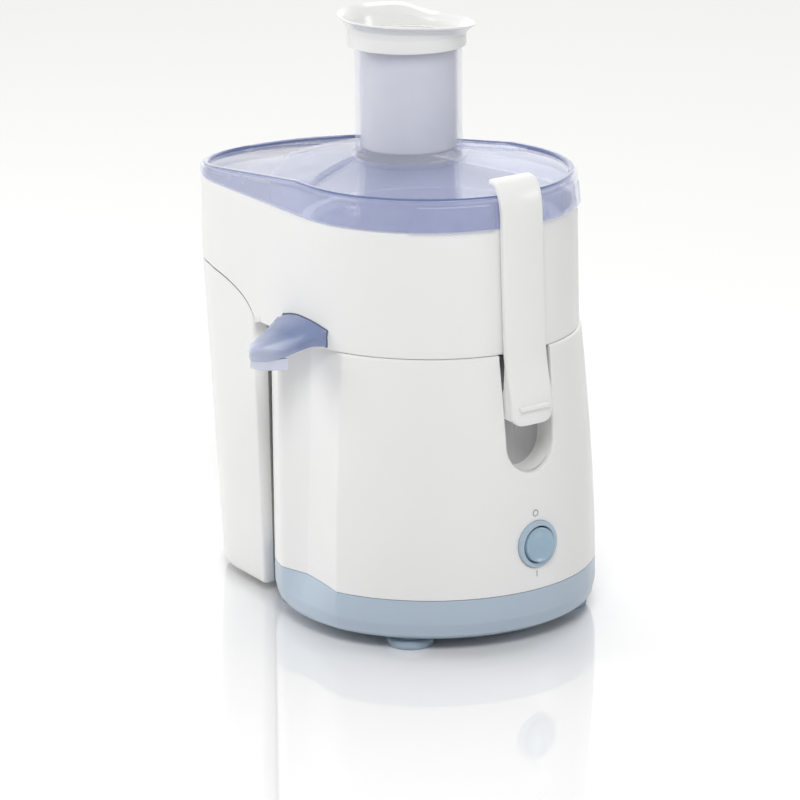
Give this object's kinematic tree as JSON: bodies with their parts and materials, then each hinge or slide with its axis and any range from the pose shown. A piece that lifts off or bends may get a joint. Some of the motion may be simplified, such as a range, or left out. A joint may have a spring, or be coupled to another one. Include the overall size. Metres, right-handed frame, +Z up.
{
  "type": "centrifugal juicer",
  "caption": "Upright centrifugal juicer with a tinted lid and feed tube, a pusher, a nose clamp, a side spout, a spinning sieve and a slide-off pulp container.",
  "frame": {"origin": "middle of the whole juicer's footprint, on the table under its feet", "axes": "+Z up, +X towards the nose with the clamp and the switch, -Y towards the spout"},
  "size_m": [0.2442, 0.195, 0.3099],
  "materials": {
    "white_shell": "fine satin moulded plastic, off-white",
    "tinted_clear": "clear plastic tinted lavender blue, polished",
    "blue_grey_plastic": "satin light blue-grey plastic",
    "rocker_plastic": "smooth light blue plastic",
    "foot_rubber": "soft light blue-grey rubber",
    "damper_rubber": "dull black rubber",
    "black_plastic": "matte black plastic",
    "steel": "brushed stainless steel",
    "lamination_steel": "stacked steel laminations",
    "copper_winding": "varnished copper",
    "carbon": "pressed carbon"
  },
  "bodies": {
    "base": {"base_plate": "blue_grey_plastic", "motor_housing": "white_shell", "foot_nose_front": "foot_rubber", "foot_nose_back": "foot_rubber", "foot_tail_front": "foot_rubber", "foot_tail_back": "foot_rubber", "base_screw_1": "steel", "base_screw_2": "steel", "base_screw_3": "steel", "base_screw_4": "steel", "cord_gland": "foot_rubber", "switch_bezel": "blue_grey_plastic", "switch_body": "black_plastic", "interlock_switch": "black_plastic", "motor_stator": "lamination_steel", "field_coil_nose": "copper_winding", "field_coil_tail": "copper_winding", "lower_bracket": "steel", "upper_bracket": "steel", "lower_bearing": "steel", "upper_bearing": "steel", "brush_holder_front": "black_plastic", "brush_holder_back": "black_plastic", "carbon_brush_front": "carbon", "carbon_brush_back": "carbon", "motor_damper_1": "damper_rubber", "motor_damper_2": "damper_rubber", "motor_damper_3": "damper_rubber", "motor_damper_4": "damper_rubber", "shaft_seal": "damper_rubber", "juice_collector": "white_shell", "lid": "tinted_clear", "clamp_pin": "steel"},
    "drive": {"motor_shaft": "steel", "rotor_core": "lamination_steel", "armature_winding_top": "copper_winding", "armature_winding_bottom": "copper_winding", "commutator": "copper_winding", "cooling_fan": "black_plastic", "drive_coupling": "black_plastic", "grater_disc": "steel", "sieve_foot_ring": "white_shell", "sieve_basket": "steel", "sieve_rim": "white_shell"},
    "pusher": {"pusher": "white_shell"},
    "clamp": {"clamp": "white_shell"},
    "rocker": {"switch_rocker": "rocker_plastic"},
    "container": {"pulp_container": "white_shell"},
    "spout": {"spout": "tinted_clear"}
  },
  "joints": [
    {"name": "drive_spin", "type": "hinge", "parent": "base", "child": "drive", "pos_m": [0.03482, 0.0105, 0.1], "axis": [0, 0, 1], "continuous": true},
    {"name": "pusher_slide", "type": "slide", "parent": "base", "child": "pusher", "axis": [0, 0, 1], "range_m": [0, 0.1]},
    {"name": "clamp_swing", "type": "hinge", "parent": "base", "child": "clamp", "pos_m": [0.10832, 0.0105, 0.1245], "axis": [0, 1, 0], "range_deg": [0, 60]},
    {"name": "rocker_tilt", "type": "hinge", "parent": "base", "child": "rocker", "pos_m": [0.12, 0.01228, 0.0517], "axis": [-0.0209, 0.9998, 0], "range_deg": [0, 10]},
    {"name": "container_slide", "type": "slide", "parent": "base", "child": "container", "axis": [-1, 0, 0], "range_m": [0, 0.12]},
    {"name": "spout_pull", "type": "slide", "parent": "base", "child": "spout", "axis": [0, -1, 0], "range_m": [0, 0.05]}
  ]
}
